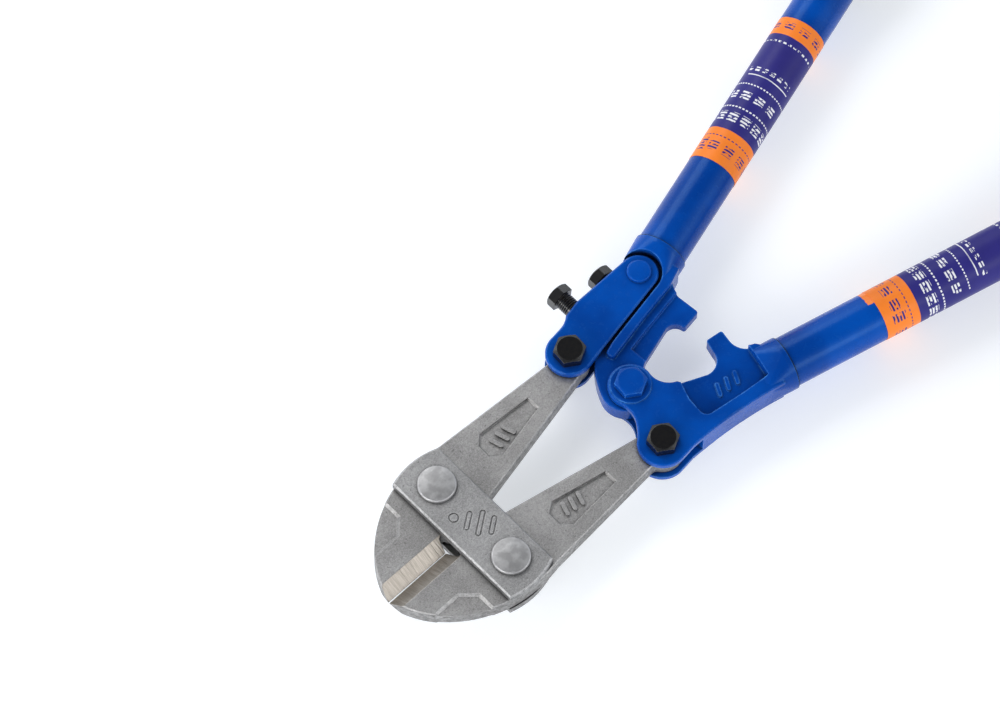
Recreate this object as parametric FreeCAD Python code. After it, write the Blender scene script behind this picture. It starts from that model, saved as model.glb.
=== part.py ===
import FreeCAD, Part
import math
import os

os.makedirs("parts", exist_ok=True)

# Bolt cutters, nominal length 450 mm, lying flat. Units are millimetres.
# The origin is on the axis of the main pivot, in the plane that the tool lies on.
# +X runs from the main pivot to the jaws, +Y to the handle with the fork, +Z up.
# Every piece is drawn about the middle plane of the tool and then lifted by MID_HEIGHT.

MID_HEIGHT = 15.5

# Linkage, seen from above
ARM = 28.9
ARM_ANGLE = 73.05
RIVET_X = 89.5
RIVET_Y = 22.0
LINK_END_X = -38.5
LINK_END_Y = -34.6
BOLT_X = ARM * math.cos(math.radians(ARM_ANGLE))
BOLT_Y = ARM * math.sin(math.radians(ARM_ANGLE))

# Layers, as heights above the middle plane
JAW_HALF = 4.25
STRAP_LOW = 4.3
STRAP_TOP = 8.3
TONGUE_HALF = 4.35
SLOT_HALF = 4.65
CLEVIS_WEB_HALF = 3.2
LINK_WEB_HALF = 2.6
HEAD_HALF = 7.5
LINK_TOP = 7.65
BOSS_TOP = 8.0

# Jaws
JAW_EYE_R = 8.8
LOBE_R = 21.7
EDGE_GAP_HEEL = 0.12
EDGE_GAP_TIP = 0.24
HEEL_X = 105.4
TIP_X = 137.3
BEVEL_WIDTH = 6.3
PANEL_DEPTH = 1.2
JAW_CHAMFER = 0.5

# Plain marks: engraved ring and slots on the side plates, raised bars in the sunk panels
MARK_DEPTH = 0.35
MARK_LINE = 0.7
RING = (94.6, -6.6)
RING_R = 2.3
PLATE_MARKS = ((91.2, -1.6, 9.0), (88.2, 2.6, 12.0), (85.2, 6.8, 9.0))
PLATE_MARK_WIDTH = 2.6
PLATE_MARK_TURN = 35.0
RAISED_BARS = 3
BAR_LENGTH = 6.6
BAR_WIDTH = 1.7
JAW_BAR = (49.5, 21.3)
JAW_BAR_STEP = (3.9, -0.45)
JAW_BAR_TURN = 72.0
CLEVIS_BAR = (-26.0, 25.6)
CLEVIS_BAR_STEP = (-4.6, 0.5)
CLEVIS_BAR_TURN = 62.0

# Fasteners
BOLT_R = 4.0
RUNNING_FIT = 0.06
OPEN_PIVOT_R = 5.6
HEX_FLATS = 12.2
HEX_FACE = 0.44
HEX_TURN = 26.0
HEX_HEAD = 5.0
MAIN_HEAD = 3.9
NUT_HEIGHT = 6.3
JAW_RIVET_R = 5.5
JAW_RIVET_HEAD_R = 8.2
JAW_RIVET_HEAD = 2.3
LINK_RIVET_R = 3.0
LINK_RIVET_HEAD_R = 5.2
LINK_RIVET_HEAD = 2.1
RIVET_ROUND = 0.9
SCREW_R = 3.9
SCREW_FLATS = 10.0
SCREW_HEAD = 4.6
JACK_X = -9.2
CLAMP_X = -27.6

# Handles: each tube axis starts at a base point and leaves the -X axis at its splay angle
POS_SPLAY = 13.9
NEG_SPLAY = 15.8
POS_OFFSET = 20.4
NEG_OFFSET = 21.36
COLLAR_START = 49.0
COLLAR_ROUND = 60.5
COLLAR_END = 62.5
COLLAR_R = 11.8
NECK_HALF = 10.4
NECK_ROUND = 2.5
NECK_SINK = 0.1
SPIGOT_R = 9.0
SPIGOT_LENGTH = 22.0
TUBE_R = 11.0
TUBE_END = 326.0
LABEL_START = 106.0
LABEL_END = 183.0
LABEL_SKIN = 0.15
GRIP_START = 215.0
GRIP_END = 330.0
GRIP_R = 15.5
GROOVES = 7
GROOVE_FIRST = 16.0
GROOVE_STEP = 13.0

# Link channel
PLATE_T = LINK_TOP - SLOT_HALF
WEB_OUT_Y = -42.8
WEB_IN_Y = -40.0
WEB_REAR_X = -32.6
WEB_FRONT_X = -2.5
TONGUE_EDGE_Y = -38.6
POCKET_GAP = 1.4

UP = FreeCAD.Vector(0, 0, 1)
MAIN = (0.0, 0.0)
JAW_BOLT = (BOLT_X, BOLT_Y)
LINK_BOLT = (BOLT_X, -BOLT_Y)
JAW_PIVOT = (RIVET_X, RIVET_Y)
LINK_END = (LINK_END_X, LINK_END_Y)


def vec(x, y, z=0.0):
    return FreeCAD.Vector(x, y, z)


def outline(start, *steps):
    """Closed wire. A step is a point for a straight side, or (point on the arc, end) for an arc."""
    edges = []
    here = start
    for step in steps:
        if isinstance(step[0], tuple):
            via, end = step
            edges.append(Part.Arc(vec(*here), vec(*via), vec(*end)).toShape())
        else:
            end = step
            edges.append(Part.LineSegment(vec(*here), vec(*end)).toShape())
        here = end
    if here != start:
        edges.append(Part.LineSegment(vec(*here), vec(*start)).toShape())
    return Part.Wire(edges)


def plate(wire, low, high):
    face = Part.Face(wire)
    face.translate(vec(0, 0, low))
    return face.extrude(vec(0, 0, high - low))


def disc(centre, radius, low, high):
    return Part.makeCylinder(radius, high - low, vec(centre[0], centre[1], low), UP)


def flip(shape):
    """The same shape on the other side of the XZ plane."""
    return shape.mirror(vec(0, 0, 0), vec(0, 1, 0))


def upside_down(shape):
    """The same shape on the other side of the middle plane."""
    return shape.mirror(vec(0, 0, 0), UP)


def both_faces(shape):
    return shape.fuse(upside_down(shape))


def level_edges(shape, level):
    found = []
    for edge in shape.Edges:
        box = edge.BoundBox
        if abs(box.ZMin - level) < 0.01 and abs(box.ZMax - level) < 0.01:
            found.append(edge)
    return found


def break_edges(shape, level, size):
    """Chamfer of the outline on the upper and the lower face."""
    return shape.makeChamfer(size, level_edges(shape, level) + level_edges(shape, -level))


def upright_edges(shape, x, y, reach):
    found = []
    for edge in shape.Edges:
        box = edge.BoundBox
        upright = box.XLength < 0.01 and box.YLength < 0.01
        if upright and math.hypot(box.XMin - x, box.YMin - y) < reach:
            found.append(edge)
    return found


def hexagon(centre, flats, low, high):
    """Hexagonal prism with the corners of its upper face turned off at 30 degrees."""
    corner = flats / math.sqrt(3.0)
    points = []
    for index in range(6):
        angle = math.radians(60 * index + HEX_TURN)
        points.append((centre[0] + corner * math.cos(angle), centre[1] + corner * math.sin(angle)))
    prism = plate(outline(points[0], *points[1:]), low, high)
    face_r = HEX_FACE * flats
    height = high - low
    cone = Part.makeCone(face_r + height * math.tan(math.radians(60)), face_r, height,
                         vec(centre[0], centre[1], low), UP)
    return prism.common(cone)


def turned(points, centre):
    """Solid of revolution about the upright line through centre; points are (radius, height)."""
    corners = [vec(radius, 0, height) for radius, height in points]
    wire = Part.makePolygon(corners + [corners[0]])
    solid = Part.Face(wire).revolve(vec(0, 0, 0), UP, 360)
    solid.translate(vec(centre[0], centre[1], 0))
    return solid


def button(centre, radius, low, height, crown):
    """Rivet head: a disc with a low crown and a rounded rim."""
    sphere_r = (radius * radius + crown * crown) / (2 * crown)
    ball = Part.makeSphere(sphere_r, vec(centre[0], centre[1], low + height - sphere_r))
    head = disc(centre, radius, low, low + height).common(ball)
    rim = [edge for edge in head.Edges if edge.BoundBox.ZMax > low + 0.1 and edge.BoundBox.ZLength < 0.01]
    return head.makeFillet(RIVET_ROUND, rim)


def tube_frame(side):
    """Base point and direction of a handle's axis. side is 1 for +Y and -1 for -Y."""
    splay = math.radians(POS_SPLAY if side > 0 else NEG_SPLAY)
    offset = POS_OFFSET if side > 0 else NEG_OFFSET
    base = vec(offset * math.sin(splay), side * offset * math.cos(splay))
    along = vec(-math.cos(splay), side * math.sin(splay))
    return base, along


def rod(side, radius, start, end):
    base, along = tube_frame(side)
    return Part.makeCylinder(radius, end - start, base + along * start, along)


def cone_rod(side, radius_a, radius_b, start, end):
    base, along = tube_frame(side)
    return Part.makeCone(radius_a, radius_b, end - start, base + along * start, along)


def save(shape, name):
    solid = shape.copy()
    solid.translate(vec(0, 0, MID_HEIGHT))
    solid.exportStep("parts/" + name + ".step")


def sunk_panel(points, shrink_to, level):
    """Shallow pocket with sloping walls in the face at the given level."""
    top = Part.makePolygon([vec(x, y, level + 0.01) for x, y in points + points[:1]])
    floor = Part.makePolygon([vec(x, y, level - PANEL_DEPTH) for x, y in shrink_to + shrink_to[:1]])
    return Part.makeLoft([top, floor], True, True)


def inset(points, amount):
    """Polygon moved in towards its centre, for the floor of a sunk panel."""
    middle_x = sum(x for x, y in points) / len(points)
    middle_y = sum(y for x, y in points) / len(points)
    moved = []
    for x, y in points:
        reach = math.hypot(x - middle_x, y - middle_y)
        factor = (reach - amount) / reach
        moved.append((middle_x + (x - middle_x) * factor, middle_y + (y - middle_y) * factor))
    return moved


def bar(x, y, length, width, angle, low, high):
    """Bar with round ends, centred on x, y."""
    half = length / 2 - width / 2
    r = width / 2
    shape = plate(outline(
        (-half, -r),
        (half, -r),
        ((half + r, 0), (half, r)),
        (-half, r),
        ((-half - r, 0), (-half, -r)),
    ), low, high)
    shape.rotate(vec(0, 0, 0), UP, angle)
    shape.translate(vec(x, y, 0))
    return shape


def raised_bars(first, step, angle, low, high):
    bars = []
    for index in range(RAISED_BARS):
        x = first[0] + step[0] * index
        y = first[1] + step[1] * index
        bars.append(bar(x, y, BAR_LENGTH, BAR_WIDTH, angle, low, high))
    return bars[0].fuse(bars[1:])


def jaw():
    """Jaw on the +Y side: round eye at the jaw bolt, tail, pivot lobe and bevelled cutting head."""
    body = plate(outline(
        (6.6, 19.45),
        (76.3, 4.8),
        ((RIVET_X, RIVET_Y - LOBE_R), (100.4, 3.25)),
        (101.3, 5.0),
        ((102.7, 5.8), (104.1, 5.0)),
        (HEEL_X, EDGE_GAP_HEEL),
        (TIP_X, EDGE_GAP_TIP),
        ((134.3, 9.0), (129.2, 17.2)),
        ((119.0, 26.6), (104.3, 33.9)),
        ((90.5, 36.3), (75.5, 35.3)),
        (14.6, 31.3),
        (8.4, 27.6),
    ), -JAW_HALF, JAW_HALF)
    eye = disc(JAW_BOLT, JAW_EYE_R, -JAW_HALF, JAW_HALF)
    body = body.fuse(eye).removeSplitter()
    body = body.makeFillet(3.0, upright_edges(body, 16.5, 31.4, 2.5))
    body = break_edges(body, JAW_HALF, JAW_CHAMFER)

    slope = (EDGE_GAP_TIP - EDGE_GAP_HEEL) / (TIP_X - HEEL_X)
    start_x = 101.0
    edge_y = EDGE_GAP_HEEL - slope * (HEEL_X - start_x)
    rise = 1.2
    wedge_wire = Part.makePolygon([
        vec(start_x, edge_y - 4, 0),
        vec(start_x, edge_y, 0),
        vec(start_x, edge_y + BEVEL_WIDTH * rise, JAW_HALF * rise),
        vec(start_x, edge_y - 4, JAW_HALF * rise),
        vec(start_x, edge_y - 4, 0),
    ])
    wedge = Part.Face(wedge_wire).extrude(vec(40.0, 40.0 * slope, 0))
    body = body.cut(both_faces(wedge))

    head_panel = [(108.6, 40.0), (108.6, 23.6), (115.2, 17.4), (127.6, 17.4), (133.0, 22.0), (133.0, 40.0)]
    head_floor = [(109.8, 42.0), (109.8, 24.3), (115.7, 18.6), (127.2, 18.6), (131.8, 22.6), (131.8, 42.0)]
    tail_panel = [(33.5, 26.2), (33.5, 19.8), (59.2, 14.3), (63.9, 17.6), (63.9, 24.2), (59.6, 28.1)]
    panels = sunk_panel(head_panel, head_floor, JAW_HALF)
    panels = panels.fuse(sunk_panel(tail_panel, inset(tail_panel, 0.8), JAW_HALF))
    body = body.cut(both_faces(panels))
    marks = raised_bars(JAW_BAR, JAW_BAR_STEP, JAW_BAR_TURN, JAW_HALF - PANEL_DEPTH - 0.5, JAW_HALF - 0.25)
    body = body.fuse(both_faces(marks))

    body = body.cut(disc(JAW_BOLT, BOLT_R + RUNNING_FIT, -JAW_HALF, JAW_HALF))
    return body.cut(disc(JAW_PIVOT, JAW_RIVET_R + RUNNING_FIT, -JAW_HALF, JAW_HALF))


def strap():
    """Upper side plate over the two jaws."""
    body = plate(outline(
        (77.4, -34.0),
        ((90.5, -36.7), (102.3, -34.9)),
        (102.3, 34.9),
        ((90.5, 36.7), (77.4, 34.0)),
    ), STRAP_LOW, STRAP_TOP)
    body = body.makeChamfer(0.7, level_edges(body, STRAP_TOP))
    for y in (-RIVET_Y, RIVET_Y):
        body = body.cut(disc((RIVET_X, y), JAW_RIVET_R, STRAP_LOW, STRAP_TOP))
    groove = STRAP_TOP - MARK_DEPTH
    above = STRAP_TOP + 1
    ring = disc(RING, RING_R, groove, above)
    body = body.cut(ring.cut(disc(RING, RING_R - MARK_LINE, groove, above)))
    for x, y, length in PLATE_MARKS:
        slot = bar(x, y, length, PLATE_MARK_WIDTH, PLATE_MARK_TURN, groove, above)
        rim = 2 * MARK_LINE
        island = bar(x, y, length - rim, PLATE_MARK_WIDTH - rim, PLATE_MARK_TURN, groove, above)
        body = body.cut(slot.cut(island))
    return body


def jaw_rivet():
    shank = disc(JAW_PIVOT, JAW_RIVET_R, -STRAP_TOP, STRAP_TOP)
    head = button(JAW_PIVOT, JAW_RIVET_HEAD_R, STRAP_TOP, JAW_RIVET_HEAD, 0.7)
    return shank.fuse(both_faces(head)).removeSplitter()


def hex_bolt(centre, seat, head):
    """Hexagon bolt: head on the upper seat, shank down to the plane that the tool lies on."""
    shank = disc(centre, BOLT_R, -MID_HEIGHT, seat)
    shank = shank.makeChamfer(0.6, level_edges(shank, -MID_HEIGHT))
    return shank.fuse(hexagon(centre, HEX_FLATS, seat, seat + head)).removeSplitter()


def hex_nut(centre, seat):
    nut = hexagon(centre, HEX_FLATS, seat, seat + NUT_HEIGHT)
    nut = nut.cut(disc(centre, BOLT_R, seat - 1, seat + NUT_HEIGHT + 1))
    return upside_down(nut)


def link_plate():
    """Upper plate of the link channel."""
    body = plate(outline(
        (6.6, -18.0),
        (-40.05, -26.45),
        ((-46.8, -34.8), (-38.5, -42.8)),
        (-10.5, -42.8),
        (-2.5, -41.2),
        ((0.2, -39.4), (3.2, -38.6)),
        (8.4, -38.0),
        ((18.3, -28.4), (6.6, -18.0)),
    ), SLOT_HALF, LINK_TOP)
    return body.makeChamfer(0.6, level_edges(body, LINK_TOP))


def adjusting_link():
    """Channel of two plates joined by a bend along the outer side."""
    body = both_faces(link_plate())
    bend = plate(outline(
        (WEB_REAR_X, WEB_IN_Y),
        (WEB_REAR_X, WEB_OUT_Y),
        (-10.5, WEB_OUT_Y),
        (WEB_FRONT_X, -41.2),
        (WEB_FRONT_X, WEB_IN_Y + 1.0),
        (-5.0, WEB_IN_Y),
    ), -SLOT_HALF, SLOT_HALF)
    body = body.fuse(bend).removeSplitter()
    body = body.cut(disc(LINK_BOLT, BOLT_R, -LINK_TOP, LINK_TOP))
    body = body.cut(disc(LINK_END, LINK_RIVET_R, -LINK_TOP, LINK_TOP))
    for x in (JACK_X, CLAMP_X):
        body = body.cut(Part.makeCylinder(SCREW_R + RUNNING_FIT, 6, vec(x, WEB_OUT_Y - 2, 0), vec(0, 1, 0)))
    return body


def adjusting_screw(x, under_head):
    """Hexagon screw along Y, with its tip just short of the handle head's edge."""
    tip = TONGUE_EDGE_Y - 0.05
    pitch = 1.0
    depth = 0.55
    points = [(0, under_head), (SCREW_R, under_head)]
    turns = int((WEB_OUT_Y - 0.3 - under_head) / pitch)
    for index in range(turns):
        y = under_head + index * pitch
        points.append((SCREW_R, y + 0.15))
        points.append((SCREW_R - depth, y + 0.5))
        points.append((SCREW_R, y + 0.85))
    points.append((SCREW_R, tip - 0.8))
    points.append((SCREW_R - 0.8, tip))
    points.append((0, tip))
    thread = turned([(r, y - under_head) for r, y in points], (0, 0))
    head = hexagon((0, 0), SCREW_FLATS, 0, SCREW_HEAD)
    head = upside_down(head)
    screw = thread.fuse(head).removeSplitter()
    screw.rotate(vec(0, 0, 0), vec(1, 0, 0), -90)
    screw.translate(vec(x, under_head, 0))
    return screw


def link_rivet():
    shank = disc(LINK_END, LINK_RIVET_R, -LINK_TOP, LINK_TOP)
    head = button(LINK_END, LINK_RIVET_HEAD_R, LINK_TOP, LINK_RIVET_HEAD, 0.25)
    return shank.fuse(both_faces(head)).removeSplitter()


def neck_section(side, at, half_width, half_height, corner):
    """Rounded rectangle across a handle's axis."""
    base, along = tube_frame(side)
    across = UP.cross(along)
    nip = corner * (1 - math.sqrt(0.5))
    quarter = (
        (half_width - corner, half_height),
        (half_width - nip, half_height - nip),
        (half_width, half_height - corner),
    )
    arcs = []
    for right, top in ((1, 1), (1, -1), (-1, -1), (-1, 1)):
        points = [base + along * at + across * (right * u) + UP * (top * v) for u, v in quarter]
        if right != top:
            points.reverse()
        arcs.append(points)
    edges = []
    for index, points in enumerate(arcs):
        following = arcs[(index + 1) % len(arcs)]
        edges.append(Part.Arc(*points).toShape())
        edges.append(Part.LineSegment(points[-1], following[0]).toShape())
    return Part.Wire(edges)


def collar(side):
    """End of a handle head: the flat neck turns into a round shoulder, with the spigot for the tube."""
    flat_end = neck_section(side, COLLAR_START, NECK_HALF, HEAD_HALF - NECK_SINK, NECK_ROUND)
    round_end = neck_section(side, COLLAR_ROUND, COLLAR_R, COLLAR_R, COLLAR_R - NECK_SINK)
    body = Part.makeLoft([flat_end, round_end], True, True)
    body = body.fuse(rod(side, COLLAR_R, COLLAR_ROUND, COLLAR_END))
    return body.fuse(rod(side, SPIGOT_R, COLLAR_END - 1, COLLAR_END + SPIGOT_LENGTH))


def clevis_head():
    """Forged head of the +Y handle: fork ears, outer rim, sunk web with the stop, collar."""
    body = plate(outline(
        (-15.8, 13.0),
        (-15.2, 11.9),
        ((-11.3, 8.9), (-9.4, 2.4)),
        ((0.0, -9.7), (9.2, 3.1)),
        ((8.4, 9.0), (10.5, 14.2)),
        ((13.3, 17.7), (16.5, 20.5)),
        ((19.22, 27.65), (7.24, 38.39)),
        (0.0, 37.6),
        ((-24.0, 39.2), (-47.1, 43.4)),
        (-51.9, 23.6),
        (-50.6, 21.8),
        ((-46.3, 18.3), (-45.1, 13.0)),
        (-46.1, 7.0),
        (-38.2, 5.9),
        (-36.9, 11.0),
        ((-33.8, 16.4), (-27.6, 17.4)),
        (-16.6, 12.4),
    ), 0, HEAD_HALF)
    for corner_x, corner_y, corner_r in ((-46.1, 7.0, 1.0), (-38.2, 5.9, 1.0), (-36.9, 11.0, 2.0)):
        body = body.makeFillet(corner_r, upright_edges(body, corner_x, corner_y, 0.3))
    body = body.makeFillet(0.8, level_edges(body, HEAD_HALF))
    body = both_faces(body).removeSplitter()
    sunk = plate(outline(
        (-44.4, 36.0),
        (-49.5, 15.0),
        (-49.5, 0.0),
        (-20.0, 0.0),
        (-16.2, 12.2),
        (-13.0, 21.5),
        (-12.4, 28.4),
        ((-13.4, 31.2), (-16.0, 32.3)),
        (-30.0, 34.4),
    ), CLEVIS_WEB_HALF, HEAD_HALF + 1)
    body = body.fuse(collar(1))
    body = body.cut(both_faces(sunk))
    body = body.fuse(both_faces(disc(MAIN, 8.7, HEAD_HALF - 0.5, BOSS_TOP)))
    slot = Part.makeBox(50, 80, 2 * SLOT_HALF, vec(-5.2, -20, -SLOT_HALF))
    slot = slot.fuse(disc(MAIN, 12.6, -SLOT_HALF, SLOT_HALF))
    body = body.cut(slot)
    for centre in (MAIN, JAW_BOLT):
        body = body.cut(disc(centre, BOLT_R, -BOSS_TOP, BOSS_TOP))
    low = CLEVIS_WEB_HALF - 0.5
    marks = raised_bars(CLEVIS_BAR, CLEVIS_BAR_STEP, CLEVIS_BAR_TURN, low, CLEVIS_WEB_HALF + 0.8)
    body = body.fuse(both_faces(marks))
    return body.removeSplitter()


def link_head():
    """Forged head of the -Y handle: tongue, web with the stop, ridge round the link's pocket, collar."""
    web = plate(outline(
        (-9.65, -2.3),
        ((2.0, 9.3), (11.6, -4.4)),
        ((8.2, -11.6), (0.6, -20.6)),
        (-4.0, -27.0),
        (-5.5, TONGUE_EDGE_Y + 2.0),
        (-7.0, TONGUE_EDGE_Y),
        (-31.0, TONGUE_EDGE_Y),
        (-33.4, -39.1),
        ((-38.5, -41.4), (-45.3, -41.4)),
        (-52.0, -44.0),
        (-52.0, -26.0),
        ((-46.6, -22.5), (-44.4, -16.5)),
        (-45.5, -6.0),
        (-36.0, -4.7),
        ((-34.2, -8.8), (-29.8, -9.6)),
        (-16.0, -5.6),
        ((-12.4, -4.2), (-9.65, -2.3)),
    ), 0, TONGUE_HALF)
    for corner_x, corner_y, corner_r in (
            (-45.5, -6.0, 1.2), (-36.0, -4.7, 1.2), (-44.4, -16.5, 5.0), (-33.4, -39.1, 1.0),
            (-31.0, TONGUE_EDGE_Y, 1.0), (-7.0, TONGUE_EDGE_Y, 1.0), (-5.5, TONGUE_EDGE_Y + 2.0, 1.5),
            (-4.0, -27.0, 3.0), (0.6, -20.6, 3.0)):
        web = web.makeFillet(corner_r, upright_edges(web, corner_x, corner_y, 0.3))
    web = web.cut(plate(outline(
        (-13.6, 3.0),
        (-12.8, -12.6),
        (-24.0, -14.6),
        (-54.0, -19.8),
        (-54.0, 3.0),
    ), LINK_WEB_HALF, TONGUE_HALF + 1))
    seen_edges = []
    for edge in level_edges(web, TONGUE_HALF) + level_edges(web, LINK_WEB_HALF):
        middle = edge.CenterOfMass
        if middle.x > -46 or middle.y > -30:
            seen_edges.append(edge)
    web = both_faces(web.makeFillet(0.6, seen_edges))
    rim = plate(outline(
        (-3.4, -13.7),
        (-2.6, -17.6),
        (-30.0, -26.0),
        (-36.0, -40.0),
        (-50.0, -44.0),
        (-52.0, -24.5),
        (-44.0, -21.4),
        (-24.0, -18.0),
    ), 0, HEAD_HALF)
    for corner_x, corner_y in ((-3.4, -13.7), (-2.6, -17.6)):
        rim = rim.makeFillet(1.6, upright_edges(rim, corner_x, corner_y, 0.3))
    rim = both_faces(rim.makeFillet(0.8, level_edges(rim, HEAD_HALF)))
    body = web.fuse(rim).fuse(collar(-1))
    lean = math.atan2(26.45 - 18.0, 40.05 + 6.6)
    reach = 8.4 + POCKET_GAP
    top_x = LINK_END_X - reach * math.sin(lean)
    top_y = LINK_END_Y + reach * math.cos(lean)
    pocket = plate(outline(
        (20.0, top_y + (20.0 - top_x) * math.tan(lean)),
        (top_x, top_y),
        ((LINK_END_X - reach, LINK_END_Y), (LINK_END_X, LINK_END_Y - reach)),
        (LINK_END_X, -60.0),
        (20.0, -60.0),
    ), TONGUE_HALF, COLLAR_R + 1)
    body = body.cut(both_faces(pocket))
    body = body.cut(disc(MAIN, OPEN_PIVOT_R, -TONGUE_HALF, TONGUE_HALF))
    body = body.cut(disc(LINK_END, LINK_RIVET_R + RUNNING_FIT, -TONGUE_HALF, TONGUE_HALF))
    return body.removeSplitter()


def handle_tube(side):
    tube = rod(side, TUBE_R, COLLAR_END, TUBE_END)
    return tube.cut(rod(side, SPIGOT_R, COLLAR_END - 1, TUBE_END + 1))


def label(side):
    skin = rod(side, TUBE_R + LABEL_SKIN, LABEL_START, LABEL_END)
    return skin.cut(rod(side, TUBE_R, LABEL_START - 1, LABEL_END + 1))


def grip(side):
    """Rubber sleeve with a flange in front, shallow finger grooves and a closed end."""
    length = GRIP_END - GRIP_START
    bore = TUBE_END - GRIP_START
    edges = [
        Part.LineSegment(vec(bore, 0), vec(bore, TUBE_R)).toShape(),
        Part.LineSegment(vec(bore, TUBE_R), vec(0, TUBE_R)).toShape(),
        Part.LineSegment(vec(0, TUBE_R), vec(0, GRIP_R - 1.5)).toShape(),
        Part.LineSegment(vec(0, GRIP_R - 1.5), vec(1.5, GRIP_R)).toShape(),
    ]
    here = 1.5
    for index in range(GROOVES):
        at = GROOVE_FIRST + index * GROOVE_STEP
        edges.append(Part.LineSegment(vec(here, GRIP_R), vec(at - 2.5, GRIP_R)).toShape())
        groove = Part.Arc(vec(at - 2.5, GRIP_R), vec(at, GRIP_R - 1.0), vec(at + 2.5, GRIP_R))
        edges.append(groove.toShape())
        here = at + 2.5
    edges.append(Part.LineSegment(vec(here, GRIP_R), vec(length - 3, GRIP_R)).toShape())
    corner = Part.Arc(vec(length - 3, GRIP_R), vec(length - 0.9, GRIP_R - 0.9), vec(length, GRIP_R - 3))
    edges.append(corner.toShape())
    edges.append(Part.LineSegment(vec(length, GRIP_R - 3), vec(length, 0)).toShape())
    edges.append(Part.LineSegment(vec(length, 0), vec(bore, 0)).toShape())
    sleeve = Part.Face(Part.Wire(edges)).revolve(vec(0, 0, 0), vec(1, 0, 0), 360)
    base, along = tube_frame(side)
    sleeve.Placement = FreeCAD.Placement(base + along * GRIP_START, FreeCAD.Rotation(vec(1, 0, 0), along))
    return sleeve


jaw_piece = jaw()
save(jaw_piece, "jaw_pos")
save(flip(jaw_piece), "jaw_neg")

upper_strap = strap()
save(upper_strap, "jaw_strap_top")
save(upside_down(upper_strap), "jaw_strap_bottom")

rivet = jaw_rivet()
save(rivet, "jaw_rivet_pos")
save(flip(rivet), "jaw_rivet_neg")

save(clevis_head(), "clevis_head")
save(link_head(), "link_head")
save(adjusting_link(), "adjusting_link")
save(link_rivet(), "link_rivet")
save(adjusting_screw(JACK_X, -49.8), "jack_screw")
save(adjusting_screw(CLAMP_X, -44.2), "clamp_screw")

for name, centre, seat, head in (("main", MAIN, BOSS_TOP, MAIN_HEAD),
                                 ("jaw_pos", JAW_BOLT, HEAD_HALF, HEX_HEAD),
                                 ("jaw_neg", LINK_BOLT, LINK_TOP, HEX_HEAD)):
    save(hex_bolt(centre, seat, head), name + "_bolt")
    save(hex_nut(centre, seat), name + "_nut")

for side, name in ((1, "pos"), (-1, "neg")):
    save(handle_tube(side), "handle_tube_" + name)
    save(label(side), "label_" + name)
    save(grip(side), "grip_" + name)
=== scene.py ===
import math

import bmesh
import bpy
from mathutils import Matrix, Vector


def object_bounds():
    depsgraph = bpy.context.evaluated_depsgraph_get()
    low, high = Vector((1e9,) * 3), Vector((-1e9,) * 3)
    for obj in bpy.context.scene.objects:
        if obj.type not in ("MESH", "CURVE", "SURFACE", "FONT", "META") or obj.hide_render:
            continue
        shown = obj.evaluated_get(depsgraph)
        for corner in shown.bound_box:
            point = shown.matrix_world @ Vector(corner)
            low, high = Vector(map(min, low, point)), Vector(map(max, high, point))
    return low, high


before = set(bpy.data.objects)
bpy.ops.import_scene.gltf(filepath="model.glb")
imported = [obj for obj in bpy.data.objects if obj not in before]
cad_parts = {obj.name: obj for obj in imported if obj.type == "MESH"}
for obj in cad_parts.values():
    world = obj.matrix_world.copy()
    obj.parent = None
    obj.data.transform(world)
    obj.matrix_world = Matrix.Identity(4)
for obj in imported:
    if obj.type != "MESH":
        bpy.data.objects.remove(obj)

# Looks of the bolt cutters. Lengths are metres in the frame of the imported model. The materials measure
# the object in millimetres, so names that end in _mm and the tables whose comments say so are in them.
cad_low, cad_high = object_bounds()
MM = 0.001
MID_HEIGHT = 15.5 * MM

# Handles: base point, direction of the tube's axis and the outward direction across it, by side
SPLAY = {1: math.radians(13.9), -1: math.radians(15.8)}
OFFSET_MM = {1: 20.4, -1: 21.36}
TUBE_R_MM = 11.0
SEAM_MM = 62.5

# Ground bevels of the jaws, in millimetres: where they start along X, and their border on either side
# of the XZ plane
BLADE_START = (99.5, 100.5)
BLADE_BORDER = (7.4, 7.8)

# Colours, linear
BLUE = (0.0012, 0.068, 0.385, 1)
BLUE_DEEP = (0.001, 0.040, 0.255, 1)
# Painted highlight along the edges of the paint
BLUE_EDGE_HIGHLIGHT = (0.08, 0.32, 0.85, 1)
BLUE_SHEEN = (0.25, 0.60, 1.0, 1)
# Dark grime for the seam, the spots and the labels, and painted shade in the gaps of the paint
GRIME_AND_SHADE = (0.004, 0.006, 0.016, 1)
STEEL = (0.47, 0.46, 0.455, 1)
STEEL_DARK = (0.31, 0.303, 0.298, 1)
# Dark scale for specks, pits and chips, the darker upright walls of the steel, and painted shade round the
# rivets
SCALE_AND_SHADE = (0.07, 0.066, 0.062, 1)
# Painted shade in the corners and gaps of the steel
GAP_SHADE = (0.025, 0.024, 0.023, 1)
PLATE = (0.47, 0.465, 0.465, 1)
PLATE_DARK = (0.33, 0.327, 0.327, 1)
GROUND = (0.375, 0.34, 0.30, 1)
GROUND_DARK = (0.25, 0.225, 0.195, 1)
RIVET = (0.47, 0.465, 0.465, 1)
RIVET_DARK = (0.34, 0.335, 0.335, 1)
BRIGHT = (0.80, 0.79, 0.77, 1)
OXIDE = (0.004, 0.004, 0.005, 1)
OXIDE_LIGHT = (0.007, 0.0065, 0.006, 1)
OXIDE_WORN = (0.11, 0.088, 0.068, 1)
ORANGE = (0.88, 0.22, 0.028, 1)
VIOLET = (0.030, 0.026, 0.185, 1)
PRINT_WHITE = (0.82, 0.82, 0.84, 1)
RUBBER = (0.018, 0.018, 0.020, 1)
RUBBER_DUSTY = (0.050, 0.050, 0.052, 1)
# Painted shade in the crevices of the grips
RUBBER_SHADE = (0.006, 0.006, 0.007, 1)

# Label: millimetres along the tube for its violet part and for the torn flap in front of it
VIOLET_PART = (122.0, 174.0)
FLAP = (104.0, 107.5)
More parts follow.
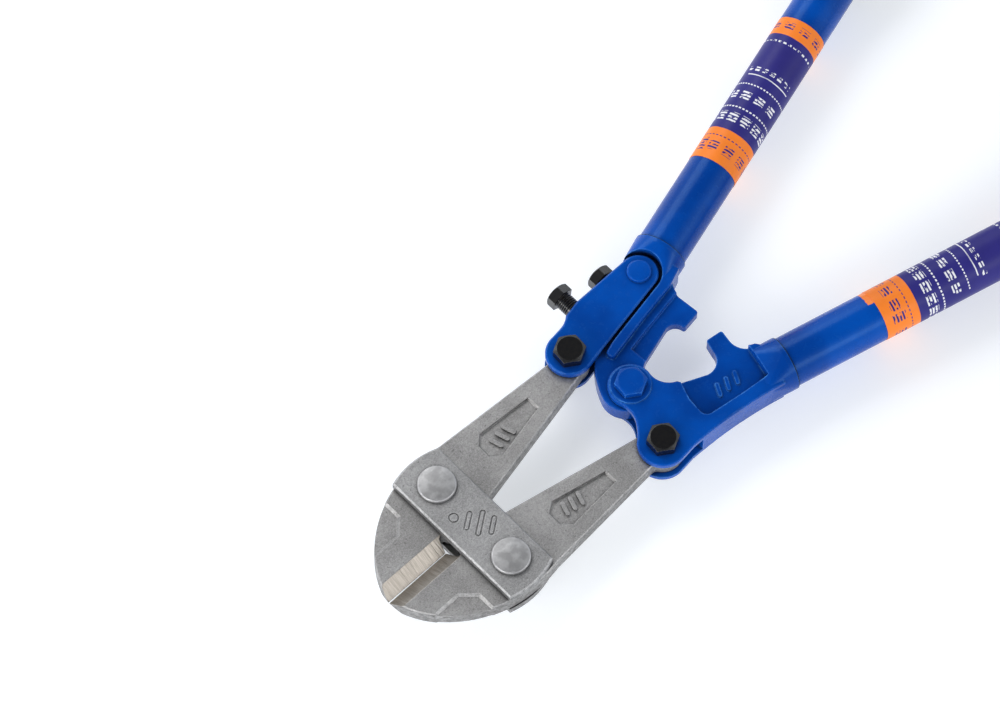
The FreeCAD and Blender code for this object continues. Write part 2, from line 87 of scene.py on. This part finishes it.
# Rows of marks, in millimetres: from and to along the tube, pitch round it, share of the pitch that is
# filled, first and last place round it
WHITE_BLOCKS = (
    (126.4, 131.0, 6.0, 0.74, -27.0, 24.3),
    (138.4, 142.6, 6.6, 0.66, -13.2, 13.2),
    (153.2, 155.4, 3.6, 0.62, -12.0, 10.0),
    (169.6, 171.2, 2.4, 0.60, -16.0, 24.3),
)
WHITE_LINES = (
    (133.4, 134.1, 1.7, 0.6, -27.0, 24.3),
    (145.8, 146.4, 1.5, 0.6, -19.8, 13.2),
    (151.0, 151.5, 200.0, 1.0, -13.0, 9.0),
)
DARK_BLOCKS = (
    (110.5, 115.0, 7.4, 0.62, -22.2, 7.4),
    (109.8, 116.2, 14.0, 0.62, 7.4, 21.4),
    (177.0, 180.5, 7.4, 0.62, -22.2, 22.2),
)
DARK_LINE = (117.8, 118.3, 1.9, 0.6, -22.2, 22.2)

# Studio: world and floor brightness, and the lamps as name, direction, distance, size, power, colour
SIDE_LIGHT = 1.05
CEILING_LIGHT = 0.06
# The floor glows though it is no lamp: painted light that lifts the shadows on it, falling from TABLE_GLOW
# to TABLE_GLOW_FAR over TABLE_FADE_MM
TABLE_GLOW = 0.52
TABLE_GLOW_FAR = 0.36
TABLE_FADE_MM = (-100.0, 250.0)
FLOOR = (0.68, 0.69, 0.70, 1)
FLOOR_CLOUDY = (0.66, 0.67, 0.69, 1)
GLOW = (0.94, 0.97, 1.0, 1)
FLOOR_HALF = 6.0
FLOOR_DROP = 0.2 * MM
SKY = (0.88, 0.93, 1.0, 1)
SKY_FADE = (0.62, 0.88)
LAMPS = (
    ("key_box", (-0.05, -0.80, 0.72), 1.7, (1.5, 0.9), 13, (1.0, 0.99, 0.98)),
    ("side_box", (-0.25, 0.90, 0.52), 1.6, (1.3, 0.5), 7, (1.0, 0.985, 0.96)),
    ("front_box", (0.93, 0.02, 0.36), 1.5, (1.7, 0.4), 12, (1.0, 0.99, 0.97)),
)

# Camera: angles in degrees, the point it looks at and its distance
CAMERA_ELEVATION = 64.818
CAMERA_AZIMUTH = 45.654
CAMERA_ROLL = 0.693
CAMERA_TARGET = (27.02 * MM, -49.82 * MM, MID_HEIGHT)
CAMERA_DISTANCE = 2.42255
CAMERA_LENS = 209.86
SENSOR_WIDTH = 36


def handle_axes(side):
    """Base point in millimetres, direction along the tube and direction across it."""
    splay = SPLAY[side]
    offset = OFFSET_MM[side]
    base = Vector((offset * math.sin(splay), side * offset * math.cos(splay), MID_HEIGHT / MM))
    along = Vector((-math.cos(splay), side * math.sin(splay), 0))
    across = Vector((math.sin(splay), side * math.cos(splay), 0))
    return base, along, across


class Surface:
    """Node graph of one material, built round its Principled shader."""

    def __init__(self, name):
        self.material = bpy.data.materials.new(name)
        self.material.use_nodes = True
        self.tree = self.material.node_tree
        self.shader = self.tree.nodes["Principled BSDF"]
        self.coordinates = self.add("ShaderNodeTexCoord")
        scaled = self.add("ShaderNodeVectorMath", operation="SCALE")
        scaled.inputs["Scale"].default_value = 1 / MM
        self.feed(scaled.inputs[0], self.coordinates.outputs["Object"])
        self.mm = scaled.outputs[0]

    def add(self, kind, **settings):
        node = self.tree.nodes.new(kind)
        for key, value in settings.items():
            setattr(node, key, value)
        return node

    def feed(self, target, source):
        """Link a socket to an input, or set the input to a plain value."""
        if isinstance(source, bpy.types.NodeSocket):
            self.tree.links.new(source, target)
        else:
            target.default_value = source

    def math(self, operation, first, second=0.0, clamp=False):
        node = self.add("ShaderNodeMath", operation=operation, use_clamp=clamp)
        self.feed(node.inputs[0], first)
        self.feed(node.inputs[1], second)
        return node.outputs[0]

    def times(self, *values):
        result = values[0]
        for value in values[1:]:
            result = self.math("MULTIPLY", result, value)
        return result

    def inverse(self, value):
        return self.math("SUBTRACT", 1.0, value, clamp=True)

    def ramp(self, value, low, high, start=0.0, end=1.0):
        """Smooth step of value from low to high, between start and end."""
        node = self.add("ShaderNodeMapRange", interpolation_type="SMOOTHSTEP")
        for index, source in enumerate((value, low, high, start, end)):
            self.feed(node.inputs[index], source)
        return node.outputs[0]

    def band(self, value, low, high, soft):
        """1 between low and high, 0 outside, over a soft border."""
        rise = self.ramp(value, low - soft, low + soft)
        fall = self.ramp(value, high - soft, high + soft, 1.0, 0.0)
        return self.times(rise, fall)

    def noise(self, per_mm, detail=3.0, roughness=0.5, stretch=None, shift=0.0, at=None):
        """Noise with that many features per millimetre, squeezed along some axes by stretch."""
        place = self.add("ShaderNodeMapping")
        self.feed(place.inputs["Vector"], at or self.mm)
        place.inputs["Location"].default_value = (shift, shift, shift)
        place.inputs["Scale"].default_value = stretch or (1, 1, 1)
        node = self.add("ShaderNodeTexNoise")
        self.feed(node.inputs["Vector"], place.outputs[0])
        node.inputs["Scale"].default_value = per_mm
        node.inputs["Detail"].default_value = detail
        node.inputs["Roughness"].default_value = roughness
        return node.outputs["Fac"]

    def colour(self, factor, first, second):
        node = self.add("ShaderNodeMix", data_type="RGBA")
        self.feed(node.inputs["Factor"], factor)
        self.feed(node.inputs[6], first)
        self.feed(node.inputs[7], second)
        return node.outputs[2]

    def distance_along(self, origin, direction):
        """Millimetres from origin in a direction, at each point of the surface."""
        node = self.add("ShaderNodeVectorMath", operation="SUBTRACT")
        self.feed(node.inputs[0], self.mm)
        self.feed(node.inputs[1], tuple(origin))
        dot = self.add("ShaderNodeVectorMath", operation="DOT_PRODUCT")
        self.feed(dot.inputs[0], node.outputs[0])
        self.feed(dot.inputs[1], tuple(direction))
        return dot.outputs["Value"]

    def bevelled(self, radius_mm):
        """Normal that rounds the edges over a radius."""
        node = self.add("ShaderNodeBevel", samples=6)
        node.inputs["Radius"].default_value = radius_mm * MM
        return node.outputs[0]

    def rounded(self, radius_mm, highlight_and_wear_mm=None):
        """Normal that rounds the edges, and a mask of the edges up to the second radius from them, where
        one is given; the mask carries painted highlights as well as wear.
        """
        normal = self.bevelled(radius_mm)
        geometry = self.add("ShaderNodeNewGeometry")
        dot = self.add("ShaderNodeVectorMath", operation="DOT_PRODUCT")
        self.feed(dot.inputs[0], self.bevelled(highlight_and_wear_mm) if highlight_and_wear_mm else normal)
        self.feed(dot.inputs[1], geometry.outputs["Normal"])
        edge = self.ramp(self.inverse(dot.outputs["Value"]), 0.015, 0.22)
        return normal, edge

    def crevice(self, reach_mm):
        """1 deep in a corner or gap, 0 in the open."""
        node = self.add("ShaderNodeAmbientOcclusion", samples=8)
        node.inputs["Distance"].default_value = reach_mm * MM
        return self.inverse(node.outputs["AO"])

    def facing_up(self):
        """Size of the upright part of the object's own normal."""
        split = self.add("ShaderNodeSeparateXYZ")
        self.feed(split.inputs[0], self.coordinates.outputs["Normal"])
        return self.math("ABSOLUTE", split.outputs[2])

    def place(self):
        """X, Y and Z of the surface's points, in millimetres."""
        split = self.add("ShaderNodeSeparateXYZ")
        self.feed(split.inputs[0], self.mm)
        return split.outputs[0], split.outputs[1], split.outputs[2]

    def bump(self, height, depth_mm, strength, normal=None):
        node = self.add("ShaderNodeBump")
        node.inputs["Strength"].default_value = strength
        node.inputs["Distance"].default_value = depth_mm * MM
        self.feed(node.inputs["Height"], height)
        if normal is not None:
            self.feed(node.inputs["Normal"], normal)
        return node.outputs[0]

    def finish(self, **inputs):
        """Feed the shader's inputs and return the material."""
        names = {"Base": "Base Color", "Coat": "Coat Weight", "CoatRoughness": "Coat Roughness",
                 "Specular": "Specular IOR Level", "SpecularTint": "Specular Tint"}
        for key, source in inputs.items():
            self.feed(self.shader.inputs[names.get(key, key)], source)
        return self.material


def label_flap(s, side, ragged):
    """Where the label's front edge is longer, on the inner upper part of the tube."""
    base, along, across = handle_axes(side)
    t = s.math("ADD", s.distance_along(base, along), s.times(ragged, 1.6))
    out = s.math("ADD", s.distance_along(base, across), s.times(ragged, 1.0))
    up = s.distance_along(base, (0, 0, 1))
    near = s.times(s.band(t, *FLAP, 0.1), s.ramp(out, -1.2, -0.9, 1.0, 0.0))
    return s.times(near, s.ramp(up, -2.0, -1.8))


def blue_paint(name, side=0):
    """Glossy enamel with a painted highlight on the edges and painted shade in the gaps; side adds the
    dark seam between head and tube.
    """
    s = Surface(name)
    normal, edge = s.rounded(0.45, 1.3)
    crevice = s.crevice(5.0)
    cloud = s.noise(0.035, 3)
    mottle = s.noise(0.35, 4, 0.6)
    peel = s.noise(0.8, 2)
    speck = s.noise(1.5, 3, 0.7, shift=40)
    colour = s.colour(s.ramp(cloud, 0.35, 0.65), BLUE_DEEP, BLUE)
    colour = s.colour(s.times(s.ramp(mottle, 0.35, 0.8), 0.25), colour, BLUE_DEEP)
    # Painted highlight: lighter blue along the edges, broken by the mottle
    colour = s.colour(s.times(edge, s.ramp(mottle, 0.25, 0.7), 0.75), colour, BLUE_EDGE_HIGHLIGHT)
    # Painted shade: gaps and corners darkened by ambient occlusion; the dark seam joins in below
    shade_and_seam = s.times(s.ramp(crevice, 0.18, 0.78), 0.92)
    if side:
        base, along, _ = handle_axes(side)
        seam = s.band(s.distance_along(base, along), SEAM_MM - 0.25, SEAM_MM + 0.45, 0.12)
        shade_and_seam = s.math("MAXIMUM", shade_and_seam, s.times(seam, s.ramp(mottle, 0.2, 0.5)))
    colour = s.colour(shade_and_seam, colour, GRIME_AND_SHADE)
    chip = s.times(s.ramp(speck, 0.66, 0.70), edge)
    colour = s.colour(chip, colour, SCALE_AND_SHADE)
    spot = s.ramp(s.noise(0.45, 1, 0.5, shift=90), 0.83, 0.86)
    colour = s.colour(s.times(spot, 0.6), colour, GRIME_AND_SHADE)
    if side > 0:
        colour = s.colour(label_flap(s, side, mottle), colour, ORANGE)
    height = s.math("ADD", s.times(peel, 0.8), s.times(mottle, 0.6))
    rough = s.ramp(mottle, 0.3, 0.8, 0.20, 0.32)
    return s.finish(Base=colour, Roughness=s.math("MAXIMUM", rough, s.times(shade_and_seam, 0.6)),
                    Normal=s.bump(height, 0.10, 0.32, normal), Coat=0.03, CoatRoughness=0.12,
                    Specular=0.26, SpecularTint=BLUE_SHEEN)


def steel(name, light, dark, edge_light, grain, ground=False):
    """Sand-blasted steel: mottled grey, fine grain, painted shade in the corners, bright on worn edges."""
    s = Surface(name)
    normal, edge = s.rounded(0.35)
    crevice = s.crevice(2.5)
    cloud = s.noise(0.05, 3, 0.6)
    mottle = s.noise(0.5, 5, 0.65)
    fine = s.noise(grain, 3, 0.7)
    sand = s.noise(1.3, 3, 0.75, shift=8)
    pit = s.ramp(s.noise(0.9, 3, 0.65, shift=25), 0.60, 0.68)
    up = s.facing_up()
    colour = s.colour(s.ramp(cloud, 0.3, 0.7), dark, light)
    colour = s.colour(s.times(s.ramp(mottle, 0.3, 0.75), 0.45), colour, dark)
    colour = s.colour(s.times(s.ramp(fine, 0.45, 0.75), 0.35), colour, BRIGHT)
    colour = s.colour(s.times(s.ramp(sand, 0.40, 0.62, 1.0, 0.0), 0.28), colour, SCALE_AND_SHADE)
    colour = s.colour(s.times(pit, 0.45), colour, SCALE_AND_SHADE)
    wall = s.ramp(up, 0.2, 0.6, 1.0, 0.0)
    colour = s.colour(s.times(wall, s.ramp(mottle, 0.3, 0.7), 0.55), colour, SCALE_AND_SHADE)
    colour = s.colour(s.times(edge, s.ramp(mottle, 0.25, 0.6), edge_light), colour, BRIGHT)
    # Painted shade: corners and gaps darkened by ambient occlusion
    colour = s.colour(s.times(s.ramp(crevice, 0.12, 0.66), 0.92), colour, GAP_SHADE)
    rough = s.ramp(mottle, 0.3, 0.7, 0.44, 0.58)
    height = s.math("ADD", s.times(fine, 0.8), s.times(sand, 1.3))
    height = s.math("SUBTRACT", height, s.times(pit, 0.7))
    if ground:
        x, y, _ = s.place()
        wide = s.math("ABSOLUTE", y)
        blade = s.times(s.ramp(x, *BLADE_START), s.ramp(wide, *BLADE_BORDER, 1.0, 0.0))
        face = s.times(s.band(up, 0.74, 0.92, 0.02), blade)
        scratch = s.noise(2.4, 4, 0.7, stretch=(1, 0.05, 0.05))
        step = s.ramp(s.noise(0.55, 1, 0.5, stretch=(1, 0.03, 0.03), shift=12), 0.52, 0.56)
        finish = s.colour(s.ramp(scratch, 0.3, 0.7), GROUND_DARK, GROUND)
        finish = s.colour(s.times(step, 0.25), finish, GROUND_DARK)
        colour = s.colour(face, colour, finish)
        away = s.inverse(face)
        rough = s.math("ADD", s.times(rough, away), s.times(face, 0.30))
        grooves = s.math("ADD", scratch, s.times(step, 1.4))
        height = s.math("ADD", s.times(height, away), s.times(face, grooves))
    return s.finish(Base=colour, Roughness=rough, Metallic=0.85, Normal=s.bump(height, 0.14, 0.55, normal))


def rivet_steel(name):
    """Pressed rivet head: smoother, with soft hammer marks."""
    s = Surface(name)
    normal, edge = s.rounded(0.3)
    crevice = s.crevice(2.0)
    dent = s.noise(0.30, 2, 0.5)
    mottle = s.noise(0.9, 5, 0.65)
    fine = s.noise(4.0, 2)
    colour = s.colour(s.ramp(dent, 0.35, 0.65), RIVET_DARK, RIVET)
    colour = s.colour(s.times(s.ramp(mottle, 0.4, 0.8), 0.4), colour, PLATE_DARK)
    colour = s.colour(s.times(edge, 0.25), colour, BRIGHT)
    # Painted shade in the crevices round the head
    colour = s.colour(s.times(s.ramp(crevice, 0.2, 0.8), 0.9), colour, SCALE_AND_SHADE)
    height = s.math("ADD", s.times(dent, 2.2), s.times(mottle, 0.5))
    height = s.math("ADD", height, s.times(fine, 0.12))
    return s.finish(Base=colour, Metallic=0.75, Roughness=s.ramp(mottle, 0.3, 0.7, 0.42, 0.56),
                    Normal=s.bump(height, 0.16, 0.35, normal))


def black_oxide(name):
    """Black bolts: dull tops, glossier flanks, bare brownish metal on the corners."""
    s = Surface(name)
    normal, edge = s.rounded(0.3)
    crevice = s.crevice(1.5)
    mottle = s.noise(0.7, 4, 0.6)
    fine = s.noise(3.5, 3)
    up = s.facing_up()
    colour = s.colour(s.ramp(mottle, 0.35, 0.75), OXIDE, OXIDE_LIGHT)
    worn = s.times(edge, s.ramp(mottle, 0.42, 0.66))
    colour = s.colour(worn, colour, OXIDE_WORN)
    # Painted shade: crevices darkened back to the plain oxide
    colour = s.colour(s.times(crevice, 0.7), colour, OXIDE)
    rough = s.math("ADD", s.ramp(up, 0.80, 0.97, 0.14, 0.34), s.times(mottle, 0.08))
    height = s.math("ADD", s.times(mottle, 1.0), s.times(fine, 0.35))
    return s.finish(Base=colour, Roughness=rough, Specular=s.ramp(up, 0.80, 0.97, 0.75, 0.16),
                    Normal=s.bump(height, 0.08, 0.4, normal))


def label_film(name, side):
    """Printed sleeve: orange end bands, violet middle and plain rows of marks round the tube."""
    s = Surface(name)
    base, along, across = handle_axes(side)
    t = s.distance_along(base, along)
    out = s.distance_along(base, across)
    height_up = s.distance_along(base, (0, 0, 1))
    turn = s.times(s.math("ARCTAN2", out, height_up), TUBE_R_MM)
    wobble = s.times(s.math("SUBTRACT", s.noise(0.2, 2), 0.5), 0.5)
    t = s.math("ADD", t, wobble)
    violet = s.band(t, *VIOLET_PART, 0.1)
    cloud = s.noise(0.06, 3)
    wear = s.noise(0.9, 5, 0.7)

    def row(low, high, pitch, filled, first, last):
        """Marks of one height, spaced round the tube between two turns."""
        phase = s.math("FRACT", s.math("DIVIDE", turn, pitch))
        marks = s.band(phase, (1 - filled) / 2, (1 + filled) / 2, 0.03)
        return s.times(marks, s.band(t, low, high, 0.1), s.band(turn, first, last, 0.1))

    def rows(table):
        result = row(*table[0])
        for entry in table[1:]:
            result = s.math("MAXIMUM", result, row(*entry))
        return result

    flat = s.add("ShaderNodeCombineXYZ")
    s.feed(flat.inputs[0], turn)
    s.feed(flat.inputs[1], t)
    broken = s.noise(1.0, 0.0, stretch=(0.55, 0.9, 1), at=flat.outputs[0])
    bars = s.band(s.math("FRACT", s.math("DIVIDE", t, 1.5)), 0.2, 0.8, 0.06)
    ink = s.times(bars, s.ramp(broken, 0.38, 0.42))
    white = s.math("MAXIMUM", s.times(rows(WHITE_BLOCKS), ink), rows(WHITE_LINES))
    dark = s.math("MAXIMUM", s.times(rows(DARK_BLOCKS), ink), row(*DARK_LINE))

    colour = s.colour(violet, ORANGE, VIOLET)
    colour = s.colour(s.times(white, s.ramp(wear, 0.25, 0.42), violet), colour, PRINT_WHITE)
    colour = s.colour(s.times(dark, s.inverse(violet)), colour, VIOLET)
    colour = s.colour(s.times(s.ramp(cloud, 0.4, 0.75), 0.12), colour, GRIME_AND_SHADE)
    crease = s.noise(0.5, 3)
    return s.finish(Base=colour, Roughness=s.ramp(wear, 0.3, 0.7, 0.30, 0.40), Specular=0.14,
                    Normal=s.bump(s.math("ADD", crease, s.times(white, 0.3)), 0.06, 0.25))


def grip_rubber(name):
    """Matt moulded rubber with a fine grain and dust in it."""
    s = Surface(name)
    normal, edge = s.rounded(0.5)
    crevice = s.crevice(2.5)
    cloud = s.noise(0.08, 4, 0.6)
    grain = s.noise(2.2, 4, 0.6)
    colour = s.colour(s.times(s.ramp(cloud, 0.4, 0.75), 0.5), RUBBER, RUBBER_DUSTY)
    colour = s.colour(s.times(edge, 0.45), colour, RUBBER_DUSTY)
    # Painted shade: crevices darkened
    colour = s.colour(s.times(crevice, 0.6), colour, RUBBER_SHADE)
    rough = s.ramp(cloud, 0.3, 0.7, 0.55, 0.72)
    return s.finish(Base=colour, Roughness=rough, Specular=0.4,
                    Normal=s.bump(s.math("ADD", grain, s.times(cloud, 0.5)), 0.12, 0.5, normal))


def dress(names, material):
    """Put a material on CAD nodes by their slots, so that their meshes stay as they are."""
    for name in names:
        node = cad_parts[name]
        for index in range(len(node.material_slots)):
            node.material_slots[index].link = "OBJECT"
            node.material_slots[index].material = material


dress(["jaw_pos", "jaw_neg"], steel("forged_steel", STEEL, STEEL_DARK, 0.5, 3.2, ground=True))
dress(["jaw_strap_top", "jaw_strap_bottom"], steel("plate_steel", PLATE, PLATE_DARK, 0.9, 3.6))
dress(["jaw_rivet_pos", "jaw_rivet_neg"], rivet_steel("rivet_steel"))
dress(["clevis_head", "handle_tube_pos"], blue_paint("blue_paint_pos", 1))
dress(["link_head", "handle_tube_neg"], blue_paint("blue_paint_neg", -1))
dress(["adjusting_link", "link_rivet", "main_bolt", "main_nut"], blue_paint("blue_paint"))
dress(["jaw_pos_bolt", "jaw_pos_nut", "jaw_neg_bolt", "jaw_neg_nut", "jack_screw", "clamp_screw"],
      black_oxide("black_steel"))
dress(["label_pos"], label_film("label_film_pos", 1))
dress(["label_neg"], label_film("label_film_neg", -1))
dress(["grip_pos", "grip_neg"], grip_rubber("grip_rubber"))


def link_to_scene(item):
    bpy.context.scene.collection.objects.link(item)
    return item


def make_floor():
    """Wide pale sheet at the plane that the tool lies on."""
    mesh = bpy.data.meshes.new("floor")
    work = bmesh.new()
    bmesh.ops.create_grid(work, x_segments=1, y_segments=1, size=FLOOR_HALF)
    work.to_mesh(mesh)
    work.free()
    floor = link_to_scene(bpy.data.objects.new("floor", mesh))
    floor.location = (0, 0, cad_low.z - FLOOR_DROP)
    s = Surface("floor_paper")
    tone = s.colour(s.noise(0.01, 2), FLOOR, FLOOR_CLOUDY)
    s.shader.inputs["Emission Color"].default_value = GLOW
    _, along, across = handle_axes(1)
    # Painted light: the floor glows to lift its shadows, and the glow fades along one direction
    reach = s.distance_along((0, 0, 0), along + across)
    glow = s.ramp(reach, *TABLE_FADE_MM, TABLE_GLOW, TABLE_GLOW_FAR)
    s.feed(s.shader.inputs["Emission Strength"], glow)
    mesh.materials.append(s.finish(Base=tone, Roughness=0.85, Specular=0.2))


def make_light(name, direction, distance, size, power, colour, aim):
    """Rectangular lamp at a distance from aim in a direction, turned to it."""
    data = bpy.data.lights.new(name, "AREA")
    data.shape = "RECTANGLE"
    data.size, data.size_y = size
    data.energy = power
    data.color = colour
    lamp = link_to_scene(bpy.data.objects.new(name, data))
    offset = Vector(direction).normalized()
    lamp.location = Vector(aim) + offset * distance
    lamp.rotation_mode = "QUATERNION"
    lamp.rotation_quaternion = offset.to_track_quat("Z", "Y")


def make_camera():
    """Camera above the head of the tool, looking down from the jaws' side."""
    elevation = math.radians(CAMERA_ELEVATION)
    azimuth = math.radians(CAMERA_AZIMUTH)
    roll = math.radians(CAMERA_ROLL)
    away = Vector((math.cos(elevation) * math.cos(azimuth), math.cos(elevation) * math.sin(azimuth),
                   math.sin(elevation)))
    level = (-away).cross(Vector((0, 0, 1))).normalized()
    upward = level.cross(-away)
    right = level * math.cos(roll) + upward * math.sin(roll)
    up = upward * math.cos(roll) - level * math.sin(roll)
    turn = Matrix((right, up, away)).transposed()
    data = bpy.data.cameras.new("camera")
    data.sensor_width = SENSOR_WIDTH
    data.lens = CAMERA_LENS
    data.clip_start = 0.05
    data.clip_end = 50
    camera = link_to_scene(bpy.data.objects.new("camera", data))
    place = Vector(CAMERA_TARGET) + away * CAMERA_DISTANCE
    camera.matrix_world = Matrix.Translation(place) @ turn.to_4x4()
    bpy.context.scene.camera = camera


def make_world():
    """Even light from the sides and a darker ceiling, so that level faces don't mirror a bright one."""
    world = bpy.data.worlds.new("studio")
    bpy.context.scene.world = world
    world.use_nodes = True
    tree = world.node_tree
    background = tree.nodes["Background"]
    background.inputs["Color"].default_value = SKY
    coordinates = tree.nodes.new("ShaderNodeTexCoord")
    split = tree.nodes.new("ShaderNodeSeparateXYZ")
    fade = tree.nodes.new("ShaderNodeMapRange")
    tree.links.new(coordinates.outputs["Generated"], split.inputs[0])
    tree.links.new(split.outputs[2], fade.inputs["Value"])
    fade.interpolation_type = "SMOOTHSTEP"
    fade.inputs["From Min"].default_value = SKY_FADE[0]
    fade.inputs["From Max"].default_value = SKY_FADE[1]
    fade.inputs["To Min"].default_value = SIDE_LIGHT
    fade.inputs["To Max"].default_value = CEILING_LIGHT
    tree.links.new(fade.outputs[0], background.inputs["Strength"])


make_floor()
make_world()
centre = (cad_low + cad_high) / 2
for lamp in LAMPS:
    make_light(*lamp, centre)
make_camera()
# Colours straight from the light, without a film curve
bpy.context.scene.view_settings.view_transform = "Standard"
